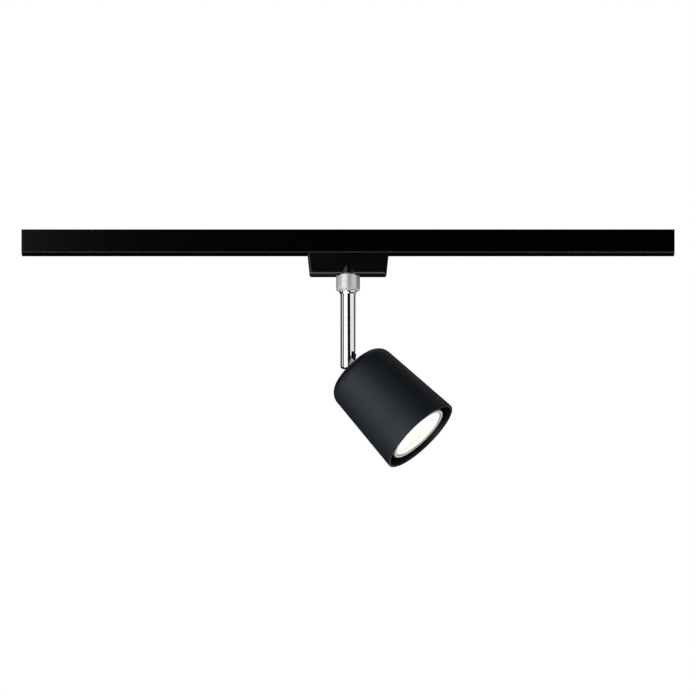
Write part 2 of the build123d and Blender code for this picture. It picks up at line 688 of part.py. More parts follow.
clamp_washer = turned(
    (
        (guide_r, COLLAR_SHOULDER_Z),
        (bore_r - FIT, COLLAR_SHOULDER_Z),
        (bore_r - FIT, COLLAR_SHOULDER_Z + WASHER_THICKNESS),
        (guide_r, COLLAR_SHOULDER_Z + WASHER_THICKNESS),
    ),
    Plane.XZ,
    Axis.Z,
)
save(clamp_washer, "clamp_washer")

with BuildPart() as stem:
    with BuildSketch(Plane.XY.offset(STEM_END)):
        Circle(STEM_R)
    extrude(amount=STEM_TOP - STEM_END)
    fillet(stem.edges().group_by(Axis.Z)[0], radius=STEM_END_FILLET)
    with BuildSketch(Plane.XY.offset(STEM_TOP)):
        Circle(STEM_FLANGE_R)
    extrude(amount=-STEM_FLANGE_THICKNESS)
    # The stop tab on the flange meets the nipple's stop pin near each end of the swivel.
    with BuildSketch(STEM.offset(STEM_TOP)):
        tab_width = 2 * STOP_RADIUS * tan(radians(STOP_TAB_HALF_ANGLE))
        with Locations((STOP_RADIUS, 0)):
            Rectangle(2 * STOP_PIN_R, tab_width)
    extrude(amount=STOP_LENGTH)
    with Locations(Plane.XY.offset(STEM_TOP + STOP_LENGTH)):
        Hole(STEM_BORE_R)
    with BuildSketch(Plane.XY.offset(STEM_END)):
        Circle(FORK_BORE_R)
    extrude(amount=NOTCH_TOP - STEM_END, mode=Mode.SUBTRACT)
    with BuildSketch(STEM.offset(STEM_END)):
        with Locations((STEM_R, 0)):
            Rectangle(2 * STEM_R, 2 * NOTCH_HALF_WIDTH)
    extrude(amount=NOTCH_TOP - STEM_END, mode=Mode.SUBTRACT)
    # The ears are cut back on the head's side, in a curve that follows the shade as it tilts.
    with BuildSketch(FORK_SIDE):
        with BuildLine():
            saddle = Spline(*SADDLE_EDGE)
            Polyline(
                saddle @ 1,
                (2 * STEM_R, SADDLE_EDGE[-1][1]),
                (2 * STEM_R, SADDLE_EDGE[0][1]),
                saddle @ 0,
            )
        make_face()
    extrude(amount=2 * STEM_R, both=True, mode=Mode.SUBTRACT)
    with BuildSketch(FORK_SIDE.offset(-STEM_R)):
        Circle(TILT_SCREW_R + THREAD_PLAY)
    extrude(amount=STEM_R + TILT_SCREW_SEAT, mode=Mode.SUBTRACT)
    with BuildSketch(FORK_SIDE.offset(-TILT_SCREW_SEAT)):
        Circle(TILT_SCREW_HEAD_R + FIT)
    extrude(amount=-STEM_R, mode=Mode.SUBTRACT)
save(stem, "stem")

with BuildPart() as tilt_screw:
    with BuildSketch(FORK_SIDE.offset(-TILT_SCREW_SEAT)):
        Circle(TILT_SCREW_HEAD_R)
    extrude(amount=-TILT_SCREW_HEAD)
    with BuildSketch(FORK_SIDE.offset(-TILT_SCREW_SEAT)):
        Circle(TILT_SCREW_R)
    extrude(amount=2 * TILT_SCREW_SEAT - FIT)
    with BuildSketch(FORK_SIDE.offset(-TILT_SCREW_SEAT - TILT_SCREW_HEAD)):
        Rectangle(CROSS_LENGTH, CROSS_WIDTH)
        Rectangle(CROSS_WIDTH, CROSS_LENGTH)
    extrude(amount=CROSS_DEPTH, mode=Mode.SUBTRACT)
save(tilt_screw, "tilt_screw")

with BuildPart() as stem_lead:
    with BuildSketch(Plane.XY.offset(NOTCH_TOP - LEAD_R)):
        Circle(LEAD_R)
    extrude(amount=STEM_TOP - NOTCH_TOP + LEAD_R - GAP)
save(stem_lead, "stem_lead")

# ---------------------------------------------------------------------------------------------
# Head
# ---------------------------------------------------------------------------------------------
draft = (SHADE_FRONT_R - SHADE_BACK_R) / (SHADE_FRONT - SHADE_BACK)
inner_back_r = SHADE_BACK_R + draft * SHADE_BACK_WALL - SHADE_WALL
inner_front_r = SHADE_FRONT_R - SHADE_WALL
with BuildPart() as shade:
    with BuildSketch(HEAD_SECTION) as wall:
        with BuildLine():
            Polyline(
                (0, SHADE_BACK),
                (SHADE_BACK_R, SHADE_BACK),
                (SHADE_FRONT_R, SHADE_FRONT),
                (inner_front_r, SHADE_FRONT),
                (inner_back_r, SHADE_INNER_BACK),
                (0, SHADE_INNER_BACK),
                close=True,
            )
        make_face()
        fillet(corner(wall, SHADE_BACK_R, SHADE_BACK), radius=SHADE_BACK_FILLET)
        fillet(corner(wall, inner_back_r, SHADE_INNER_BACK), radius=SHADE_BACK_FILLET - SHADE_WALL)
        fillet(corner(wall, SHADE_FRONT_R, SHADE_FRONT), radius=SHADE_LIP_FILLET)
        fillet(corner(wall, inner_front_r, SHADE_FRONT), radius=SHADE_LIP_FILLET)
    revolve(axis=HEAD_AXIS)
    with BuildSketch(HEAD.offset(SHADE_BACK)):
        with Locations(((CHEEK_RISE - CHEEK_R) / 2, 0)):
            Rectangle(CHEEK_RISE + CHEEK_R + 2 * GAP, 2 * (CHEEK_OUTSIDE + GAP))
    extrude(amount=SHADE_BACK_WALL, mode=Mode.SUBTRACT)
    with Locations(HEAD.offset(SHADE_INNER_BACK)):
        with GridLocations(FOOT_SCREW_SPACING, 0, 2, 1):
            Hole(TILT_SCREW_R + THREAD_PLAY, depth=TAP_DEPTH)
save(shade, "shade")

with BuildPart() as hinge_bracket:
    cheek_back = CHEEK_R - CHEEK_RISE
    with BuildSketch(HEAD_SECTION) as cheek:
        Circle(CHEEK_R)
        Rectangle(2 * CHEEK_R, SHADE_INNER_BACK, align=(Align.CENTER, Align.MIN))
        with Locations((0, cheek_back)):
            Rectangle(CHEEK_RISE, SHADE_INNER_BACK - cheek_back, align=(Align.MIN, Align.MIN))
        fillet(corner(cheek, CHEEK_RISE, cheek_back), radius=CHEEK_CORNER)
    extrude(amount=CHEEK_OUTSIDE, both=True)
    with BuildSketch(HEAD.offset(-CHEEK_RISE)):
        Rectangle(2 * CHEEK_RISE + CHEEK_R, 2 * CHEEK_INSIDE)
    extrude(amount=SHADE_INNER_BACK + CHEEK_RISE, mode=Mode.SUBTRACT)
    with BuildSketch(HEAD.offset(SHADE_INNER_BACK)):
        RectangleRounded(*FOOT_SIZE, 2.0)
        Circle(LEAD_HOLE_R, mode=Mode.SUBTRACT)
        with GridLocations(FOOT_SCREW_SPACING, 0, 2, 1):
            Circle(TILT_SCREW_R + FIT, mode=Mode.SUBTRACT)
    extrude(amount=FOOT_THICKNESS)
    with BuildSketch(HEAD_SECTION):
        Circle(TILT_SCREW_R + 2 * FIT)
    extrude(amount=CHEEK_OUTSIDE, both=True, mode=Mode.SUBTRACT)
save(hinge_bracket, "hinge_bracket")

with BuildPart() as tilt_washers:
    for start, direction in ((CHEEK_OUTSIDE, 1), (-CHEEK_OUTSIDE, -1)):
        with BuildSketch(FORK_SIDE.offset(start)):
            Circle(TILT_WASHER_R)
            Circle(TILT_SCREW_R + 2 * FIT, mode=Mode.SUBTRACT)
        extrude(amount=direction * TILT_WASHER_THICKNESS)
save(tilt_washers, "tilt_washers")

with BuildPart() as holder_bracket:
    flange_low = HOLDER_BACK - HOLDER_PLATE
    with BuildSketch(Plane(origin=PIVOT, x_dir=hinge_line, z_dir=head_up)):
        for side in (-1, 1):
            with Locations((side * HAT_FOOT_AT, flange_low + HOLDER_PLATE / 2)):
                Rectangle(HAT_FOOT, HOLDER_PLATE)
            with Locations((side * HAT_WALL_AT, (BRACKET_BASE + HOLDER_BACK) / 2)):
                Rectangle(HOLDER_PLATE, HOLDER_BACK - BRACKET_BASE)
        with Locations((0, BRACKET_BASE + HOLDER_PLATE / 2)):
            Rectangle(HAT_TOP, HOLDER_PLATE)
    extrude(amount=HAT_WIDTH / 2, both=True)
    with BuildSketch(HEAD.offset(BRACKET_BASE)):
        with GridLocations(FOOT_SCREW_SPACING, 0, 2, 1):
            Circle(TILT_SCREW_R + FIT)
        Circle(LEAD_HOLE_R)
    extrude(amount=HOLDER_PLATE, mode=Mode.SUBTRACT)
    with BuildSketch(HEAD.offset(flange_low)):
        with GridLocations(0, HOLDER_SCREW_SPACING, 1, 2):
            Circle(TILT_SCREW_R + FIT)
    extrude(amount=HOLDER_PLATE, mode=Mode.SUBTRACT)
save(holder_bracket, "holder_bracket")


def make_screws(seat, direction, spacing_x, spacing_y, length):
    """Two pan-head screws on the head's axis plane, heads on the seat, shanks the other way."""
    count = (2, 1) if spacing_x else (1, 2)
    with BuildPart() as screws:
        with BuildSketch(HEAD.offset(seat)):
            with GridLocations(spacing_x, spacing_y, *count):
                Circle(PAN_HEAD_R)
        extrude(amount=direction * PAN_HEAD_HEIGHT)
        with BuildSketch(HEAD.offset(seat)):
            with GridLocations(spacing_x, spacing_y, *count):
                Circle(TILT_SCREW_R)
        extrude(amount=-direction * length)
        with BuildSketch(HEAD.offset(seat + direction * PAN_HEAD_HEIGHT)):
            with GridLocations(spacing_x, spacing_y, *count):
                Rectangle(CROSS_LENGTH, CROSS_WIDTH)
                Rectangle(CROSS_WIDTH, CROSS_LENGTH)
        extrude(amount=-direction * CROSS_DEPTH, mode=Mode.SUBTRACT)
    return screws


bracket_seat = BRACKET_BASE + HOLDER_PLATE
save(make_screws(bracket_seat, 1, FOOT_SCREW_SPACING, 0, BRACKET_SCREW_LENGTH), "bracket_screws")
save(make_screws(flange_low, -1, 0, HOLDER_SCREW_SPACING, HOLDER_SCREW_LENGTH), "holder_screws")


def pin_angle_path(first, last):
    """Centre line of a pin's swing in the lampholder, between two angles about the axis."""
    return CenterArc((0, 0), PIN_RADIUS_OUT, first, last - first, mode=Mode.PRIVATE)


# The pins stand along the hinge line when locked, and swing back by BAYONET_TURN to come free.
with BuildPart() as lampholder:
    with BuildSketch(HEAD.offset(HOLDER_BACK)):
        Circle(HOLDER_R)
    extrude(amount=HOLDER_FRONT - HOLDER_BACK)
    fillet(lampholder.edges().filter_by(GeomType.CIRCLE), radius=HOLDER_FILLET)
    for half_turn in (0, 180):
        locked = LOCKED_ANGLE + half_turn
        free = locked - BAYONET_TURN
        swing = pin_angle_path(free, locked)
        with BuildSketch(HEAD.offset(PIN_END - SPRING_CONTACT_BACK)):
            SlotArc(swing, 2 * PIN_HEAD_R + 2 * GAP)
        extrude(amount=SPRING_CONTACT_BACK + PIN_HEAD_HEIGHT + GAP, mode=Mode.SUBTRACT)
        with BuildSketch(HEAD.offset(PIN_END)):
            SlotArc(swing, 2 * PIN_NECK_R + 2 * GAP)
        extrude(amount=HOLDER_FRONT - PIN_END, mode=Mode.SUBTRACT)
        with BuildSketch(HEAD.offset(PIN_END)):
            with PolarLocations(PIN_RADIUS_OUT, 1, start_angle=free):
                Circle(PIN_HEAD_R + GAP)
        extrude(amount=HOLDER_FRONT - PIN_END, mode=Mode.SUBTRACT)
    with BuildSketch(HEAD.offset(HOLDER_BACK)):
        with GridLocations(0, HOLDER_SCREW_SPACING, 1, 2):
            Circle(TILT_SCREW_R + THREAD_PLAY)
    extrude(amount=HOLDER_SCREW_LENGTH, mode=Mode.SUBTRACT)
save(lampholder, "lampholder")

with BuildPart() as holder_contacts:
    with BuildSketch(HEAD.offset(PIN_END - SPRING_CONTACT_BACK)):
        with GridLocations(0, 2 * PIN_RADIUS_OUT, 1, 2):
            Rectangle(SPRING_CONTACT[0], SPRING_CONTACT[1])
    extrude(amount=SPRING_CONTACT[2])
save(holder_contacts, "holder_contacts")

with BuildPart() as head_lead:
    with BuildSketch(HEAD.offset(HEAD_LEAD_BACK)):
        Circle(LEAD_R)
    extrude(amount=HOLDER_BACK - HEAD_LEAD_BACK - FIT)
save(head_lead, "head_lead")

# ---------------------------------------------------------------------------------------------
# Lamp
# ---------------------------------------------------------------------------------------------
shoulder = LAMP_BACK + BASE_FLOOR
lamp_base_blank = turned(
    (
        (0, LAMP_BACK),
        (BASE_NECK_R, LAMP_BACK),
        (BASE_NECK_R, shoulder - 2.0),
        (BASE_R, shoulder + 0.5),
        (BASE_R, BASE_FRONT),
        (BASE_BORE_R, BASE_FRONT),
        (BASE_BORE_R, shoulder),
        (0, shoulder),
    )
)
with BuildPart() as lamp_base:
    add(lamp_base_blank.part)
    with BuildSketch(HEAD.offset(LAMP_BACK)):
        with GridLocations(0, 2 * PIN_RADIUS_OUT, 1, 2):
            Circle(PIN_NECK_R)
    extrude(amount=PIN_SEAT, mode=Mode.SUBTRACT)
save(lamp_base, "lamp_base")

with BuildPart() as lamp_pins:
    with BuildSketch(HEAD.offset(PIN_END)):
        with GridLocations(0, 2 * PIN_RADIUS_OUT, 1, 2):
            Circle(PIN_HEAD_R)
    extrude(amount=PIN_HEAD_HEIGHT)
    with BuildSketch(HEAD.offset(PIN_END)):
        with GridLocations(0, 2 * PIN_RADIUS_OUT, 1, 2):
            Circle(PIN_NECK_R)
    extrude(amount=LAMP_BACK + PIN_SEAT - PIN_END)
save(lamp_pins, "lamp_pins")

lamp_body = turned(
    (
        (BASE_BORE_R, BASE_FRONT),
        (BASE_R, BASE_FRONT),
        (BODY_BACK_R, BASE_FRONT + 4.0),
        (BODY_MID_R, LED_BOARD_U + 3.0),
        (BODY_FRONT_R, BODY_FRONT),
        (BODY_FRONT_R - 1.5, BODY_FRONT),
        (BODY_MID_R - 1.3, LED_BOARD_U + 3.4),
        (BODY_SEAT_R, LED_BOARD_U),
        (BODY_BACK_R - 1.3, BASE_FRONT + 4.4),
    )
)
save(lamp_body, "lamp_body")

lamp_bezel = turned(
    (
        (LENS_R + 2 * FIT, BODY_FRONT),
        (LAMP_R, BODY_FRONT),
        (LAMP_R, LAMP_FACE - BEZEL_CHAMFER),
        (LAMP_R - BEZEL_CHAMFER, LAMP_FACE),
        (LENS_R + BEZEL_FACE_INSET, LAMP_FACE),
        (LENS_R + 2 * FIT, LAMP_FACE - BEZEL_FACE_INSET),
    )
)
save(lamp_bezel, "lamp_bezel")

with BuildPart() as lamp_lens:
    with BuildSketch(HEAD_SECTION):
        with BuildLine():
            Polyline(
                (0, LENS_BACK + LENS_EDGE + LENS_DOME),
                (0, LENS_BACK),
                (LENS_R, LENS_BACK),
                (LENS_R, LENS_BACK + LENS_EDGE),
            )
            TangentArc(
                (0, LENS_BACK + LENS_EDGE + LENS_DOME),
                (LENS_R, LENS_BACK + LENS_EDGE),
                tangent=(1, 0),
            )
        make_face()
    revolve(axis=HEAD_AXIS)
save(lamp_lens, "lamp_lens")

board_section = ((0, LED_BOARD_U), (LED_BOARD_R, LED_BOARD_U), (LED_BOARD_R, LED_FACE), (0, LED_FACE))
led_board = turned(board_section)
save(led_board, "led_board")

with BuildPart() as led_chips:
    with BuildSketch(HEAD.offset(LED_FACE)):
        with PolarLocations(LED_CIRCLE_R, 6):
            Rectangle(CHIP_SIZE, CHIP_SIZE)
        Rectangle(CHIP_SIZE, CHIP_SIZE)
    extrude(amount=CHIP_HEIGHT)
save(led_chips, "led_chips")

with BuildPart() as driver_board:
    with BuildSketch(HEAD.offset(shoulder + 0.5)):
        Rectangle(DRIVER_SIZE[0], DRIVER_SIZE[1])
    extrude(amount=DRIVER_SIZE[2])
save(driver_board, "driver_board")

stop_half_angle = degrees(asin(STOP_PIN_R / STOP_RADIUS)) + STOP_TAB_HALF_ANGLE
print(f"swivel stops meet {180 - stop_half_angle:.1f} degrees either side of straight ahead")
print(f"head axis {tuple(head_axis)}, hinge line {tuple(hinge_line)}")
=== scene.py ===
"""The looks of the track spotlight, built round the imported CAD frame.

Lengths are in metres and angles in degrees. The track runs along X, the viewer is on the -Y side,
and +Z is up.
"""
import json
from math import cos, pi, radians, sin, tan

import bmesh
import bpy
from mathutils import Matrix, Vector


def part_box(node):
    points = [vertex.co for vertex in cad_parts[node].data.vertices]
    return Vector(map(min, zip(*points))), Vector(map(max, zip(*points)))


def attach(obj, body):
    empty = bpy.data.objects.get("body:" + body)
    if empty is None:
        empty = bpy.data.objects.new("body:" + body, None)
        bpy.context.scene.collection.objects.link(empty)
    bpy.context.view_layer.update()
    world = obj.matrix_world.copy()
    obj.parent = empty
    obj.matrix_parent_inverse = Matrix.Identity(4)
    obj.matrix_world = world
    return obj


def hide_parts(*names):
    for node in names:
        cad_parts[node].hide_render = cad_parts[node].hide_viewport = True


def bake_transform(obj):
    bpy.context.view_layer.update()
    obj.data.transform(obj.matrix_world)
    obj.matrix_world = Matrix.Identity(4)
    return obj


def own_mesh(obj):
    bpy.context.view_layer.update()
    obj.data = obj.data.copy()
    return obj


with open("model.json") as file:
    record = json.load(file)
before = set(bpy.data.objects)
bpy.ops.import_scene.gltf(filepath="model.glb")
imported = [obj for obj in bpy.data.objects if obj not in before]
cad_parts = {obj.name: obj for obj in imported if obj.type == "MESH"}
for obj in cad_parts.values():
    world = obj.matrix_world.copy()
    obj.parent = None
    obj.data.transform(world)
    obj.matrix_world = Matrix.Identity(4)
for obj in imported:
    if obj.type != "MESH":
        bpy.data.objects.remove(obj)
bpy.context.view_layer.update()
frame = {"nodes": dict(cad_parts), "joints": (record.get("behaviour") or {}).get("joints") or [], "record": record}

nodes = frame["nodes"]
joints = {joint["name"]: joint for joint in frame["joints"]}

MM = 0.001
PIVOT = Vector(joints["tilt"]["pos_m"])            # where the head tilts on the stem
HINGE_LINE = Vector(joints["tilt"]["axis"])        # level, across the fork
HEAD_AXIS = -Vector(joints["lamp_twist"]["axis"])  # out of the head, the way the light goes


# ---------------------------------------------------------------------------------------------
# Camera and studio
# ---------------------------------------------------------------------------------------------
VIEW_WIDTH = 0.5329  # what the picture spans at the stem
VIEW_CENTRE = Vector((0.0, 0.0, -0.08998))
VIEW_ELEVATION = -6.1
VIEW_DISTANCE = 12.0
SENSOR_WIDTH = 36.0
CLIP_END = 100.0

WHITE = (1, 1, 1, 1)
WORLD_LIGHT = 0.004  # the world's strength for everything but the camera

FLOOR_LEVEL = -2.3
FLOOR_HALF_SIDE = 60.0
FLOOR_COLOUR = (0.86, 0.86, 0.85, 1)
FLOOR_ROUGHNESS = 0.9
FLOOR_GLOW_COLOUR = (1.0, 1.0, 0.99, 1)
FLOOR_GLOW = 0.78

# Soft panels round the object, placed for the light and dark lines along the chrome stem.
# Name: azimuth from the viewer's side to the right, elevation, width and height as the object
# sees them, and radiance.
LIGHT_DISTANCE = 2.0
LIGHTS = {
    "key_left": (-38, 0, 58, 70, 1.05),
    "edge_left": (-97, 6, 22, 50, 0.65),
    "fill_right": (65.5, 14, 63, 30, 0.82),
    "table_edge": (-24, -28, 80, 4, 7.0),
    "table": (-24, -46, 80, 32, 1.4),
    "under": (0, -82, 70, 36, 0.45),
    "rim_right": (145, -30, 54, 24, 0.7),
    "back_top": (185, 50, 70, 40, 0.3),
    "rear_right": (135, 5, 64, 30, 0.13),
}


def from_azimuth(azimuth, elevation, distance):
    """A place round the object: azimuth from the viewer's side, to the right."""
    a, e = radians(azimuth), radians(elevation)
    return VIEW_CENTRE + distance * Vector((sin(a) * cos(e), -cos(a) * cos(e), sin(e)))


def aim(obj):
    """Turn a camera or light to the middle of the view."""
    obj.rotation_euler = (VIEW_CENTRE - obj.location).to_track_quat("-Z", "Y").to_euler()


def add_object(name, data):
    obj = bpy.data.objects.new(name, data)
    bpy.context.scene.collection.objects.link(obj)
    return obj


def make_camera():
    data = bpy.data.cameras.new("camera")
    data.sensor_width = SENSOR_WIDTH
    data.lens = SENSOR_WIDTH * VIEW_DISTANCE / VIEW_WIDTH
    data.clip_end = CLIP_END
    camera = add_object("camera", data)
    camera.location = from_azimuth(0.0, VIEW_ELEVATION, VIEW_DISTANCE)
    aim(camera)
    bpy.context.scene.camera = camera


def make_world():
    """White seen directly, dim as a light, so that the black parts stay black."""
    world = bpy.data.worlds.new("studio")
    world.use_nodes = True
    tree = world.node_tree
    tree.nodes.clear()
    out = tree.nodes.new("ShaderNodeOutputWorld")
    mix = tree.nodes.new("ShaderNodeMixShader")
    path = tree.nodes.new("ShaderNodeLightPath")
    seen = tree.nodes.new("ShaderNodeBackground")
    seen.inputs["Color"].default_value = WHITE
    lit = tree.nodes.new("ShaderNodeBackground")
    lit.inputs["Color"].default_value = WHITE
    lit.inputs["Strength"].default_value = WORLD_LIGHT
    tree.links.new(path.outputs["Is Camera Ray"], mix.inputs["Fac"])
    tree.links.new(lit.outputs[0], mix.inputs[1])
    tree.links.new(seen.outputs[0], mix.inputs[2])
    tree.links.new(mix.outputs[0], out.inputs["Surface"])
    bpy.context.scene.world = world


def make_light(name, azimuth, elevation, wide, high, radiance):
    """A soft panel that faces the object. The camera doesn't see it."""
    data = bpy.data.lights.new(name, "AREA")
    data.shape = "RECTANGLE"
    data.size = 2 * LIGHT_DISTANCE * tan(radians(wide / 2))
    data.size_y = 2 * LIGHT_DISTANCE * tan(radians(high / 2))
    data.energy = radiance * pi * data.size * data.size_y
    light = add_object(name, data)
    light.location = from_azimuth(azimuth, elevation, LIGHT_DISTANCE)
    aim(light)
    light.visible_camera = False


def floor_material():
    """Pale and evenly lit from above, and clear from below."""
    mat = bpy.data.materials.new("floor")
    mat.use_nodes = True
    tree = mat.node_tree
    shader = tree.nodes["Principled BSDF"]
    shader.inputs["Base Color"].default_value = FLOOR_COLOUR
    shader.inputs["Roughness"].default_value = FLOOR_ROUGHNESS
    shader.inputs["Emission Color"].default_value = FLOOR_GLOW_COLOUR
    shader.inputs["Emission Strength"].default_value = FLOOR_GLOW
    clear = tree.nodes.new("ShaderNodeBsdfTransparent")
    geometry = tree.nodes.new("ShaderNodeNewGeometry")
    mix = tree.nodes.new("ShaderNodeMixShader")
    tree.links.new(geometry.outputs["Backfacing"], mix.inputs["Fac"])
    tree.links.new(shader.outputs[0], mix.inputs[1])
    tree.links.new(clear.outputs[0], mix.inputs[2])
    tree.links.new(mix.outputs[0], tree.nodes["Material Output"].inputs["Surface"])
    return mat


def make_floor():
    """A wide floor, well under the hanging head, that neither lights nor mirrors in the object."""
    corners = [(x * FLOOR_HALF_SIDE, y * FLOOR_HALF_SIDE, FLOOR_LEVEL)
               for x, y in ((-1, -1), (1, -1), (1, 1), (-1, 1))]
    mesh = bpy.data.meshes.new("floor")
    mesh.from_pydata(corners, [], [(0, 1, 2, 3)])
    mesh.materials.append(floor_material())
    floor = add_object("floor", mesh)
    floor.visible_glossy = False
    floor.visible_diffuse = False


def make_studio():
    bpy.context.scene.view_settings.view_transform = "Standard"
    make_world()
    make_floor()
    for name, setting in LIGHTS.items():
        make_light(name, *setting)


# ---------------------------------------------------------------------------------------------
# Materials
# ---------------------------------------------------------------------------------------------
# The head's wall and the lamp's rim, for the painted shade and painted glow that change across them.
SHADE_FLARE = 0.0801       # how much the cone's radius grows along its length
SHADE_MIDDLE_R = 0.02531   # radius of the middle of its wall, run back to the pivot
SHADE_BACK_DEPTH = 0.0095  # middle of its back wall, from the pivot
PAINTED_HIGHLIGHT_LINE_R = 0.0238      # outside this the rim's face has a painted highlight line
PAINTED_GLOW_EDGE_R = 0.0245      # and outside this, on its side, there is no painted glow

SHADE_OUTSIDE = (0.0135, 0.0162, 0.0225)
# Painted shade: the colour of the cone's inner wall, far darker than the outside, because that recess lies in
# shade.
SHADE_INSIDE_PAINTED_SHADE = (0.0012, 0.0012, 0.001)
SHADE_TINT = (0.8, 0.91, 1.0, 1)
NO_GLOW = (0.0, 0.0, 0.0)
SERRATIONS = 72


def scaled(colour, factor):
    return tuple(channel * factor for channel in colour)


class Finish:
    """A procedural material: a Principled shader with noise in its colour, roughness and bump.

    A noise's scale is in features to the metre. Each bump is laid over the ones before it.
    """

    def __init__(self, name, colour, roughness, metallic=0.0, **sockets):
        self.mat = bpy.data.materials.new(name)
        self.mat.use_nodes = True
        self.tree = self.mat.node_tree
        self.shader = self.tree.nodes["Principled BSDF"]
        self.shader.inputs["Base Color"].default_value = (*colour, 1)
        self.shader.inputs["Roughness"].default_value = roughness
        self.shader.inputs["Metallic"].default_value = metallic
        for socket, value in sockets.items():
            self.shader.inputs[socket.replace("_", " ")].default_value = value
        self.place = self.node("ShaderNodeTexCoord").outputs["Object"]
        self.normal = None

    def node(self, kind, **settings):
        made = self.tree.nodes.new(kind)
        for key, value in settings.items():
            setattr(made, key, value)
        return made

    def link(self, source, target):
        self.tree.links.new(source, target)

    def stretched(self, *scale):
        """Object coordinates scaled by axis, for a grain that runs one way."""
        mapping = self.node("ShaderNodeMapping")
        mapping.inputs["Scale"].default_value = scale
        self.link(self.place, mapping.inputs["Vector"])
        return mapping.outputs["Vector"]

    def head_place(self):
        """How far a point is along the head's axis from the pivot, and how far out from it."""
        from_pivot = self.node("ShaderNodeVectorMath", operation="SUBTRACT")
        self.link(self.place, from_pivot.inputs[0])
        from_pivot.inputs[1].default_value = PIVOT
        along = self.node("ShaderNodeVectorMath", operation="DOT_PRODUCT")
        self.link(from_pivot.outputs[0], along.inputs[0])
        along.inputs[1].default_value = HEAD_AXIS
        across = self.node("ShaderNodeVectorMath", operation="CROSS_PRODUCT")
        self.link(from_pivot.outputs[0], across.inputs[0])
        across.inputs[1].default_value = HEAD_AXIS
        radius = self.node("ShaderNodeVectorMath", operation="LENGTH")
        self.link(across.outputs[0], radius.inputs[0])
        return along.outputs["Value"], radius.outputs["Value"]

    def math(self, operation, *values):
        """A Math node's output. Each value is a number or another node's output."""
        made = self.node("ShaderNodeMath", operation=operation)
        for socket, value in zip(made.inputs, values):
            if isinstance(value, float):
                socket.default_value = value
            else:
                self.link(value, socket)
        return made.outputs[0]

    def blend(self, fac, low, high):
        """Colour low where fac is 0 and high where it is 1."""
        mix = self.node("ShaderNodeMix", data_type="RGBA")
        self.link(fac, mix.inputs["Factor"])
        for socket, value in zip([i for i in mix.inputs if i.type == "RGBA"], (low, high)):
            if isinstance(value, tuple):
                socket.default_value = (*value, 1)
            else:
                self.link(value, socket)
        return next(o for o in mix.outputs if o.type == "RGBA")

    def noise(self, scale, detail=3.0, vector=None):
        tex = self.node("ShaderNodeTexNoise")
        tex.inputs["Scale"].default_value = scale
        tex.inputs["Detail"].default_value = detail
        self.link(vector or self.place, tex.inputs["Vector"])
        return tex.outputs["Fac"]

    def ramp(self, fac, low, high, start=0.3, end=0.7):
        """Low up to where fac is start, high from end on: colours, or numbers as greys."""
        ramp = self.node("ShaderNodeValToRGB")
        stops = zip(ramp.color_ramp.elements, (start, end), (low, high))
        for element, position, value in stops:
            element.position = position
            element.color = (*value, 1) if isinstance(value, tuple) else (value, value, value, 1)
        self.link(fac, ramp.inputs["Fac"])
        return ramp.outputs["Color"]

    def colour(self, fac, low, high):
        self.link(self.ramp(fac, low, high), self.shader.inputs["Base Color"])

    def roughness(self, fac, low, high):
        self.link(self.ramp(fac, low, high), self.shader.inputs["Roughness"])

    def glow(self, colour):
        self.link(colour, self.shader.inputs["Emission Color"])
        self.shader.inputs["Emission Strength"].default_value = 1.0

    def bump(self, height, strength, distance):
        bump = self.node("ShaderNodeBump")
        bump.inputs["Strength"].default_value = strength
        bump.inputs["Distance"].default_value = distance
        self.link(height, bump.inputs["Height"])
        if self.normal:
            self.link(self.normal, bump.inputs["Normal"])
        self.normal = bump.outputs["Normal"]
        self.link(self.normal, self.shader.inputs["Normal"])


def anodised(name, colour, roughness, grain, depth, **sockets):
    """Smooth anodised profile: a tight grain over a wider one, with slow colour drift."""
    f = Finish(name, colour, roughness, **sockets)
    f.colour(f.noise(scale=35.0, detail=2.0), scaled(colour, 0.85), scaled(colour, 1.15))
    f.roughness(f.noise(scale=grain / 3), roughness * 0.92, roughness * 1.08)
    f.bump(f.noise(scale=grain, detail=2.0), strength=0.25, distance=depth)
    f.bump(f.noise(scale=grain / 6, detail=2.0), strength=0.15, distance=depth * 2)
    return f.mat


def coated_shade():
    """Matt blue-black powder coat outside. Within the cone's wall the colour is painted near black, as painted
    shade.
    """
    f = Finish("shade_black", SHADE_OUTSIDE, 0.52, Specular_Tint=SHADE_TINT)
    along, radius = f.head_place()
    wall_middle = f.math("ADD", f.math("MULTIPLY", along, SHADE_FLARE), SHADE_MIDDLE_R)
    within_wall = f.math("LESS_THAN", radius, wall_middle)
    past_back = f.math("GREATER_THAN", along, SHADE_BACK_DEPTH)
    # The cone's inner wall, where the colour is painted shade.
    painted_shade_inside = f.math("MULTIPLY", within_wall, past_back)
    drift = f.ramp(f.noise(scale=35.0, detail=2.0),
                   scaled(SHADE_OUTSIDE, 0.88), scaled(SHADE_OUTSIDE, 1.12))
    f.link(f.blend(painted_shade_inside, drift, SHADE_INSIDE_PAINTED_SHADE), f.shader.inputs["Base Color"])
    rough = f.ramp(f.noise(scale=870.0), 0.48, 0.56)
    f.link(f.blend(painted_shade_inside, rough, (0.42, 0.42, 0.42)), f.shader.inputs["Roughness"])
    f.bump(f.noise(scale=2600.0, detail=2.0), strength=0.25, distance=0.012 * MM)
    f.bump(f.noise(scale=430.0, detail=2.0), strength=0.15, distance=0.024 * MM)
    return f.mat


def moulded(name, colour, roughness, grain=3500.0, depth=0.01 * MM):
    """Injection-moulded plastic: faint grain, slight gloss changes."""
    f = Finish(name, colour, roughness)
    f.colour(f.noise(scale=60.0), scaled(colour, 0.9), scaled(colour, 1.1))
    f.roughness(f.noise(scale=420.0), roughness * 0.88, roughness * 1.12)
    f.bump(f.noise(scale=grain, detail=2.0), strength=0.2, distance=depth)
    return f.mat


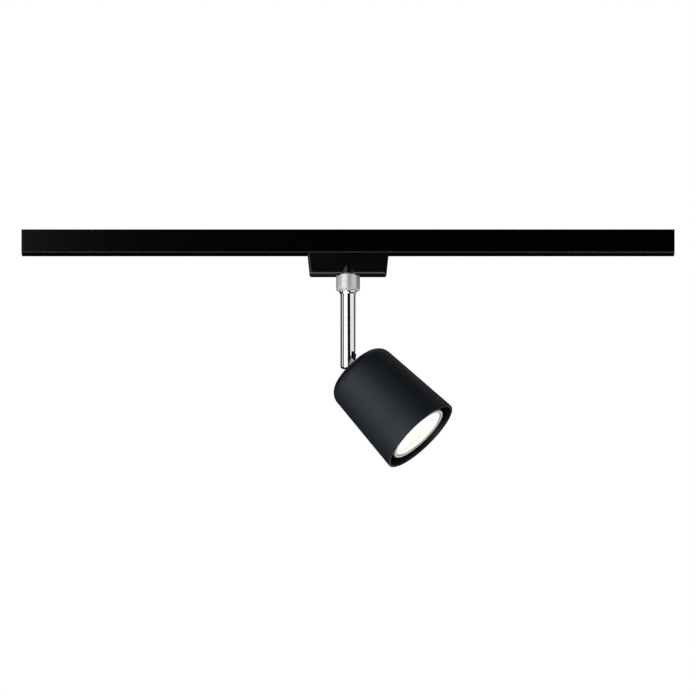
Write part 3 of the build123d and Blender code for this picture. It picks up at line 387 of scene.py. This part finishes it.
def turned_metal(name, colour, roughness):
    """Turned metal: fine rings round the Z axis."""
    f = Finish(name, colour, roughness, metallic=1.0)
    rings = f.noise(scale=1.0, detail=4.0, vector=f.stretched(300, 300, 5200))
    f.colour(f.noise(scale=240.0), scaled(colour, 0.92), colour)
    f.roughness(rings, roughness * 0.8, roughness * 1.25)
    f.bump(rings, strength=0.12, distance=0.01 * MM)
    return f.mat


def plated(name, colour, roughness):
    """Plated or drawn metal: patchy sheen and faint scratches."""
    f = Finish(name, colour, roughness, metallic=1.0)
    scratches = f.noise(scale=1.0, vector=f.stretched(400, 6000, 400))
    f.colour(f.noise(scale=180.0), scaled(colour, 0.88), colour)
    f.roughness(f.noise(scale=900.0, detail=5.0), roughness * 0.7, roughness * 1.4)
    f.bump(scratches, strength=0.08, distance=0.01 * MM)
    return f.mat


def chrome():
    """Polished chrome plate, with a faint waviness along the tube."""
    f = Finish("chrome", (0.93, 0.94, 0.95), 0.03, metallic=1.0)
    waves = f.noise(scale=1.0, detail=2.0, vector=f.stretched(60, 60, 8))
    f.roughness(f.noise(scale=120.0, detail=4.0), 0.02, 0.05)
    f.bump(waves, strength=0.01, distance=0.005 * MM)
    return f.mat


def serrated_metal(name, colour, roughness):
    """Satin metal with fine grip serrations that run along Z, all round the Z axis."""
    f = Finish(name, colour, roughness, metallic=0.5, Sheen_Weight=1.0, Sheen_Roughness=0.35)
    turn = f.node("ShaderNodeTexGradient", gradient_type="RADIAL")
    f.link(f.place, turn.inputs["Vector"])
    ridges = f.math("SINE", f.math("MULTIPLY", turn.outputs["Fac"], 2 * pi * SERRATIONS))
    brushed = f.noise(scale=1.0, vector=f.stretched(900, 900, 60))
    scratches = f.noise(scale=1.0, vector=f.stretched(1500, 1500, 60))
    f.colour(f.noise(scale=260.0), scaled(colour, 0.93), colour)
    f.roughness(brushed, roughness * 0.9, roughness * 1.1)
    f.bump(ridges, strength=0.5, distance=0.02 * MM)
    f.bump(scratches, strength=0.06, distance=0.004 * MM)
    return f.mat


def lit_lens():
    """Frosted lens of the burning lamp: warm white, with fine prisms and soft chip glow."""
    f = Finish("lens", (0.3, 0.3, 0.28), 0.4)
    prisms = f.node("ShaderNodeTexVoronoi")
    prisms.inputs["Scale"].default_value = 900.0
    f.link(f.place, prisms.inputs["Vector"])
    f.bump(prisms.outputs["Distance"], strength=0.3, distance=0.15 * MM)
    f.glow(f.ramp(f.noise(scale=60.0, detail=1.0),
                  (0.79, 0.785, 0.69), (0.93, 0.93, 0.88), start=0.35, end=0.65))
    return f.mat


def bezel_with_painted_glow():
    """Silvered plastic rim of the burning lamp, with painted glow: faint on its face, a brighter painted highlight
    line near its outer edge, none on its side.
    """
    f = Finish("bezel_silver", (0.7, 0.7, 0.69), 0.3, metallic=0.5)
    f.colour(f.noise(scale=180.0), (0.64, 0.64, 0.63), (0.72, 0.72, 0.71))
    f.roughness(f.noise(scale=900.0, detail=5.0), 0.24, 0.36)
    _, radius = f.head_place()
    # Painted glow on the rim: faint on its face, a bright painted highlight line near its outer edge, and none on
    # its side.
    face = f.ramp(f.noise(scale=300.0, detail=2.0), (0.07, 0.07, 0.068), (0.1, 0.1, 0.098))
    on_painted_highlight = f.math("GREATER_THAN", radius, PAINTED_HIGHLIGHT_LINE_R)
    past_painted_glow = f.math("GREATER_THAN", radius, PAINTED_GLOW_EDGE_R)
    f.glow(f.blend(past_painted_glow, f.blend(on_painted_highlight, face, (0.42, 0.42, 0.41)), NO_GLOW))
    f.bump(f.noise(scale=1200.0, detail=2.0), strength=0.08, distance=0.01 * MM)
    return f.mat


# Each material slot of the record, with the maker of its finish: a name, colour and roughness.
FINISHES = {
    "black_anodised": lambda: anodised("track_black", (0.0004, 0.0004, 0.00045), 0.14,
                                       grain=4200.0, depth=0.002 * MM, Specular_IOR_Level=0.42),
    "insulator_pvc": lambda: moulded("insulator_grey", (0.2, 0.205, 0.21), 0.55),
    "copper": lambda: plated("copper", (0.83, 0.47, 0.31), 0.3),
    "end_cap_plastic": lambda: moulded("end_cap_black", (0.0006, 0.0006, 0.00065), 0.16),
    "adapter_plastic": lambda: moulded("adapter_black", (0.0036, 0.0036, 0.0038), 0.11,
                                       depth=0.002 * MM),
    "carrier_plastic": lambda: moulded("carrier_black", (0.02, 0.02, 0.021), 0.5),
    "thumb_plastic": lambda: moulded("thumb_black", (0.012, 0.012, 0.013), 0.4),
    "terminal_plastic": lambda: moulded("terminal_white", (0.75, 0.75, 0.72), 0.45),
    "zinc_steel": lambda: plated("zinc", (0.66, 0.68, 0.71), 0.28),
    "spring_steel": lambda: plated("spring_steel", (0.5, 0.51, 0.53), 0.3),
    "nickel_brass": lambda: turned_metal("nickel_brass", (0.72, 0.66, 0.52), 0.3),
    "satin_aluminium": lambda: serrated_metal("satin_aluminium", (0.93, 0.94, 0.95), 0.29),
    "nylon": lambda: moulded("nylon", (0.78, 0.77, 0.73), 0.5),
    "chrome": chrome,
    "lead_sheath": lambda: moulded("lead_black", (0.006, 0.006, 0.0065), 0.42,
                                   grain=1200.0, depth=0.02 * MM),
    "shade_black": coated_shade,
    "bracket_steel": lambda: plated("bracket_steel", (0.36, 0.37, 0.39), 0.35),
    "ceramic": lambda: moulded("steatite", (0.8, 0.79, 0.75), 0.55,
                               grain=1800.0, depth=0.03 * MM),
    "lamp_white": lambda: moulded("lamp_white", (0.82, 0.82, 0.8), 0.3),
    "lamp_silver": lambda: plated("lamp_silver", (0.62, 0.63, 0.64), 0.32),
    "bezel_silver": bezel_with_painted_glow,
    "lens": lit_lens,
    "board_white": lambda: moulded("board_white", (0.85, 0.85, 0.83), 0.4),
    "board_green": lambda: moulded("board_green", (0.03, 0.22, 0.1), 0.35),
    "led_yellow": lambda: moulded("phosphor", (0.95, 0.78, 0.2), 0.5),
}


# ---------------------------------------------------------------------------------------------
# The CAD nodes
# ---------------------------------------------------------------------------------------------
SMOOTH_ANGLE = 28  # faces that meet at less are shaded as one
EDGE_ANGLE = 35    # and an edge that turns more gets a small round
EDGE_SEGMENTS = 2

# Moulded, cut and rolled edges that are sharp in the frame: width of the small round.
EDGE_ROUNDS = {
    "adapter_housing": 0.1 * MM,
    "track_profile": 0.1 * MM,
    "end_cap_left": 0.1 * MM,
    "end_cap_right": 0.1 * MM,
    "collar_nut": 0.15 * MM,
    "collar_ferrule": 0.1 * MM,
    "contact_head": 0.2 * MM,
    "lock_slider": 0.2 * MM,
    "terminal_block": 0.2 * MM,
    "hinge_bracket": 0.15 * MM,
    "holder_bracket": 0.15 * MM,
    "lampholder": 0.2 * MM,
    "shade": 0.1 * MM,
    "stem": 0.12 * MM,
    "lamp_bezel": 0.15 * MM,
}


def soften(obj, width):
    """A small round on every real edge."""
    bevel = obj.modifiers.new("edge_round", "BEVEL")
    bevel.width = width
    bevel.segments = EDGE_SEGMENTS
    bevel.limit_method = "ANGLE"
    bevel.angle_limit = radians(EDGE_ANGLE)
    bevel.use_clamp_overlap = True
    bevel.harden_normals = True


def dress_nodes():
    """Every CAD node takes its slot's finish, and is shaded smooth up to its real edges."""
    made = {slot: make() for slot, make in FINISHES.items()}
    for part in frame["record"]["subparts"]:
        obj = nodes[part["node"]]
        obj.data.materials.clear()
        obj.data.materials.append(made[part["material_slot"]])
        obj.data.shade_smooth()
        obj.data.set_sharp_from_angle(angle=radians(SMOOTH_ANGLE))
    for name, width in EDGE_ROUNDS.items():
        soften(nodes[name], width)
    return made


# ---------------------------------------------------------------------------------------------
# Pieces that the frame leaves out
# ---------------------------------------------------------------------------------------------
# The lead's loop in the fork: across from the pivot towards the head, and up from the pivot.
TILT_LEAD_R = 1.2 * MM
TILT_LEAD_ROUTE = [(across * MM, up * MM) for across, up in (
    (0, 9.0), (0.1, 7.2), (1.4, 5.9), (4.0, 6.9), (5.6, 5.2),
    (5.1, 2.6), (3.2, 0.2), (1.7, -1.7), (2.4, -2.5),
)]

SPRING_WIRE_R = 0.22 * MM
SPRING_PITCH = 1.2 * MM
SPRING_POINTS = 16  # to a turn

# Grip ribs on the thumb tab: how they are spread, and their section.
THUMB_MIDDLE = -23.5 * MM
RIB_COUNT = 3
RIB_PITCH = 0.7 * MM
RIB_HALF = 0.25 * MM
RIB_PROUD = 0.35 * MM
RIB_SUNK = 0.1 * MM
RIB_END_GAP = 1.4 * MM
RIB_ROUND = 0.06 * MM


def new_piece(name, mesh, finish):
    piece = add_object(name, mesh)
    mesh.materials.append(finish)
    return piece


def in_fork(across, up):
    """A place near the tilt pivot: across the stem towards the head, and up."""
    towards_head = Vector((-HINGE_LINE.y, HINGE_LINE.x, 0.0))
    return PIVOT + towards_head * across + Vector((0, 0, up))


def sweep_tube(name, route, radius, sides=20, steps=10):
    """A closed tube along a smooth line that follows the route's points."""
    curve = bpy.data.curves.new(name, "CURVE")
    curve.dimensions = "3D"
    spline = curve.splines.new("NURBS")
    spline.points.add(len(route) - 1)
    for point, place in zip(spline.points, route):
        point.co = (*place, 1.0)
    spline.order_u = 3
    spline.use_endpoint_u = True
    spline.resolution_u = steps
    curve.bevel_depth = radius
    curve.bevel_resolution = sides // 4 - 1
    curve.use_fill_caps = True
    holder = bpy.data.objects.new(name, curve)
    mesh = bpy.data.meshes.new_from_object(holder)
    bpy.data.objects.remove(holder)
    bpy.data.curves.remove(curve)
    mesh.shade_smooth()
    return mesh


def make_tilt_lead(finish):
    """The lead's slack loop across the tilt pivot, out of the stem's bore and into the head."""
    mesh = sweep_tube("tilt_lead", [in_fork(*place) for place in TILT_LEAD_ROUTE], TILT_LEAD_R)
    lead = new_piece("tilt_lead", mesh, finish)
    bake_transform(lead)


def make_lock_spring(finish):
    """The slider's return spring as a fixed coil; the real spring shortens as the slider comes down on it, this
    one keeps its length.
    """
    low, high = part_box("lock_spring")
    middle = (low + high) / 2
    coil_r = (high.x - low.x) / 2 - SPRING_WIRE_R
    bottom, top = low.z + SPRING_WIRE_R, high.z - SPRING_WIRE_R
    count = round(SPRING_POINTS * (top - bottom) / SPRING_PITCH)
    route = []
    for i in range(count + 1):
        turn = 2 * pi * i / SPRING_POINTS
        route.append((middle.x + coil_r * cos(turn), middle.y + coil_r * sin(turn),
                      bottom + (top - bottom) * i / count))
    mesh = sweep_tube("lock_spring_coil", route, SPRING_WIRE_R, sides=12, steps=2)
    coil = new_piece("lock_spring_coil", mesh, finish)
    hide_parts("lock_spring")
    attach(coil, "adapter")
    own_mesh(coil)


def add_rib(ribs, left_x, right_x, y, z):
    """A low ridge along X on the tab's face at y."""
    section = [(0.0, -RIB_HALF), (RIB_PROUD, -RIB_HALF / 3),
               (RIB_PROUD, RIB_HALF / 3), (0.0, RIB_HALF)]
    left, right = [[ribs.verts.new((x, y + out, z + up)) for out, up in section]
                   for x in (left_x, right_x)]
    for i in range(len(section)):
        after = (i + 1) % len(section)
        ribs.faces.new((left[i], left[after], right[after], right[i]))
    ribs.faces.new(left[::-1])
    ribs.faces.new(right)


def make_thumb_ribs(finish):
    """Grip ribs across the lock slider's thumb tab, behind the adapter."""
    low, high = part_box("lock_slider")
    ribs = bmesh.new()
    for step in range(RIB_COUNT):
        z = THUMB_MIDDLE + (step - RIB_COUNT // 2) * RIB_PITCH
        add_rib(ribs, low.x + RIB_END_GAP, high.x - RIB_END_GAP, high.y - RIB_SUNK, z)
    bmesh.ops.recalc_face_normals(ribs, faces=ribs.faces)
    mesh = bpy.data.meshes.new("thumb_ribs")
    ribs.to_mesh(mesh)
    ribs.free()
    piece = new_piece("thumb_ribs", mesh, finish)
    soften(piece, RIB_ROUND)
    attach(piece, "lock")


make_camera()
make_studio()
finishes = dress_nodes()
make_tilt_lead(finishes["lead_sheath"])
make_thumb_ribs(finishes["thumb_plastic"])
make_lock_spring(finishes["spring_steel"])
